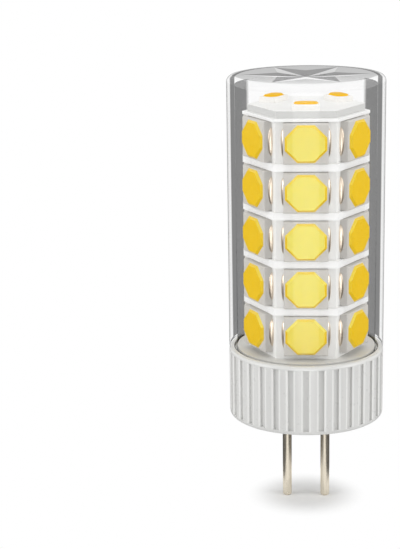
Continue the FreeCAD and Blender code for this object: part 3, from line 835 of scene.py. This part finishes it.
class BULB_OT_stage(bpy.types.Operator):
    """Set the floor, the light and the camera"""

    bl_idname = "bulb.stage"
    bl_label = "Studio"

    def execute(self, context):
        scene = context.scene
        stage = scene.bulb_stage
        scene.view_settings.view_transform = "Standard"
        self.add_floor(stage)
        self.add_world(scene, stage)
        self.add_lamps(stage)
        self.add_cards(stage)
        self.add_camera(scene, stage)
        return {"FINISHED"}

    def add_floor(self, stage):
        """Lay a floor that looks white, but for the bulb's shadow near its pins."""
        material, tree, place = new_material("matt studio floor")
        tone = add_node(tree, "ShaderNodeTexNoise", {"Vector": place, "Scale": repeats(FLOOR_PATCH)})
        paint = add_node(tree, "ShaderNodeValToRGB", {"Fac": tone.outputs["Fac"]}, stops=[
            (NOISE_LOW, shade(stage.floor, 1.0 - FLOOR_DRIFT)),
            (NOISE_HIGH, shade(stage.floor, 1.0 + FLOOR_DRIFT))])
        matt = add_node(tree, "ShaderNodeBsdfDiffuse", {"Color": paint.outputs["Color"]})
        bright = add_node(tree, "ShaderNodeEmission", {"Color": WHITE, "Strength": 1.0})
        away = add_node(tree, "ShaderNodeVectorMath", {0: place}, operation="LENGTH")
        fade = add_node(tree, "ShaderNodeMapRange", {
            "Value": away.outputs["Value"], "From Min": SHADOW_CORE, "From Max": SHADOW_END,
            "To Min": SHADOW_VEIL, "To Max": 1.0}, interpolation_type="SMOOTHSTEP")
        share = add_node(tree, "ShaderNodeMath", {
            0: self.seen(tree), 1: fade.outputs["Result"]}, operation="MULTIPLY")
        both = add_node(tree, "ShaderNodeMixShader", {
            0: share.outputs[0], 1: matt.outputs["BSDF"], 2: bright.outputs["Emission"]})
        add_node(tree, "ShaderNodeOutputMaterial", {"Surface": both.outputs["Shader"]})
        bm = bmesh.new()
        bmesh.ops.create_grid(bm, x_segments=1, y_segments=1, size=FLOOR_REACH)
        floor = add_mesh("studio_floor", bm, [material])
        floor.location = (0.0, 0.0, CAD_LOW.z)

    def add_lamps(self, stage):
        """Hang a softbox above and one at each side, and set a low panel in front."""
        aim = (0.0, 0.0, 15 * MM)
        add_lamp(
            "overhead_softbox", place=(0.0, -20 * MM, 220 * MM), target=aim,
            width=200 * MM, height=200 * MM, level=stage.overhead)
        for name, side in (("left_softbox", -1), ("right_softbox", 1)):
            add_lamp(
                name, place=(side * 220 * MM, -90 * MM, 90 * MM), target=aim,
                width=160 * MM, height=160 * MM, level=stage.sides)
        # The panel shows only in gloss, as a pale sheen on the front LEDs
        panel = add_lamp(
            "low_front_panel", place=(0.0, -60 * MM, 10 * MM), target=(0.0, 0.0, 10 * MM),
            width=40 * MM, height=36 * MM, level=stage.sheen)
        panel.visible_diffuse = False

    def add_cards(self, stage):
        """Lay dark cards beside and behind the bulb that show only as reflections in metal and gloss."""
        left = (-CARD_REACH, -CARD_REACH, -CARD_GAP, CARD_REACH)
        right = (CARD_GAP, -CARD_REACH, CARD_REACH, CARD_REACH)
        behind = (-CARD_GAP, CARD_GAP, CARD_GAP, CARD_REACH)
        bm = bmesh.new()
        for x_low, y_low, x_high, y_high in (left, right, behind):
            middle = Vector((x_low + x_high, y_low + y_high, 0.0)) / 2
            spread = Matrix.Diagonal((x_high - x_low, y_high - y_low, 1.0, 1.0))
            bmesh.ops.create_grid(
                bm, x_segments=1, y_segments=1, size=0.5, matrix=Matrix.Translation(middle) @ spread)
        cards = add_mesh("dark_cards", bm, [black_card(stage.card)])
        cards.location = (0.0, 0.0, CAD_LOW.z + CARD_LIFT)
        cards.visible_camera = False
        cards.visible_diffuse = False
        cards.visible_transmission = False
        cards.visible_shadow = False

    def seen(self, tree):
        """Give 1 for what is seen directly, in a mirror or through glass."""
        path = add_node(tree, "ShaderNodeLightPath")
        direct = add_node(tree, "ShaderNodeMath", {
            0: path.outputs["Is Camera Ray"], 1: path.outputs["Is Glossy Ray"]}, operation="MAXIMUM")
        either = add_node(tree, "ShaderNodeMath", {
            0: direct.outputs[0], 1: path.outputs["Is Transmission Ray"]}, operation="MAXIMUM")
        return either.outputs[0]

    def add_world(self, scene, stage):
        """Surround the bulb with even light that looks white where it is seen."""
        world = bpy.data.worlds.new("studio")
        world.use_nodes = True
        tree = world.node_tree
        tree.nodes.clear()
        level = add_node(tree, "ShaderNodeMapRange", {
            "Value": self.seen(tree), "To Min": stage.fill, "To Max": 1.0})
        light = add_node(tree, "ShaderNodeBackground", {
            "Color": WHITE, "Strength": level.outputs["Result"]})
        add_node(tree, "ShaderNodeOutputWorld", {"Surface": light.outputs["Background"]})
        scene.world = world

    def add_camera(self, scene, stage):
        """Set the camera in front of the bulb, above it and turned a little past it."""
        lens = bpy.data.cameras.new("camera")
        lens.sensor_width = SENSOR_WIDTH
        lens.lens = stage.lens
        lens.clip_start = CLIP_START
        camera = bpy.data.objects.new("camera", lens)
        tilt = Matrix.Rotation(stage.yaw, 4, "Z") @ Matrix.Rotation(math.pi / 2 - stage.pitch, 4, "X")
        camera.matrix_world = (
            Matrix.Translation((0.0, -stage.distance, stage.height))
            @ tilt @ Matrix.Rotation(stage.roll, 4, "Z"))
        scene.collection.objects.link(camera)
        scene.camera = camera


class BULB_PT_panel(bpy.types.Panel):
    """List the bulb's pieces in the sidebar"""

    bl_idname = "BULB_PT_panel"
    bl_label = "Corn Bulb"
    bl_space_type = "VIEW_3D"
    bl_region_type = "UI"
    bl_category = "Corn Bulb"

    def draw(self, context):
        for operator in OPERATORS:
            self.layout.operator(operator.bl_idname)
        for group in (context.scene.bulb_sizes, context.scene.bulb_colours, context.scene.bulb_stage):
            for name in group.__annotations__:
                self.layout.prop(group, name)


OPERATORS = (
    BULB_OT_base, BULB_OT_pins, BULB_OT_cover, BULB_OT_solder,
    BULB_OT_column, BULB_OT_leds, BULB_OT_driver, BULB_OT_stage,
)
CLASSES = (BulbSizes, BulbColours, BulbStage, *OPERATORS, BULB_PT_panel)


def register():
    """Register the classes and their settings."""
    for item in CLASSES:
        bpy.utils.register_class(item)
    bpy.types.Scene.bulb_sizes = bpy.props.PointerProperty(type=BulbSizes)
    bpy.types.Scene.bulb_colours = bpy.props.PointerProperty(type=BulbColours)
    bpy.types.Scene.bulb_stage = bpy.props.PointerProperty(type=BulbStage)


def unregister():
    """Remove the settings and the classes."""
    del bpy.types.Scene.bulb_stage
    del bpy.types.Scene.bulb_colours
    del bpy.types.Scene.bulb_sizes
    for item in reversed(CLASSES):
        bpy.utils.unregister_class(item)


def main():
    """Build every piece and the stage."""
    register()
    bpy.ops.bulb.base()
    bpy.ops.bulb.pins()
    bpy.ops.bulb.cover()
    bpy.ops.bulb.solder()
    bpy.ops.bulb.column()
    bpy.ops.bulb.leds()
    bpy.ops.bulb.driver()
    bpy.ops.bulb.stage()


if __name__ == "__main__":
    main()
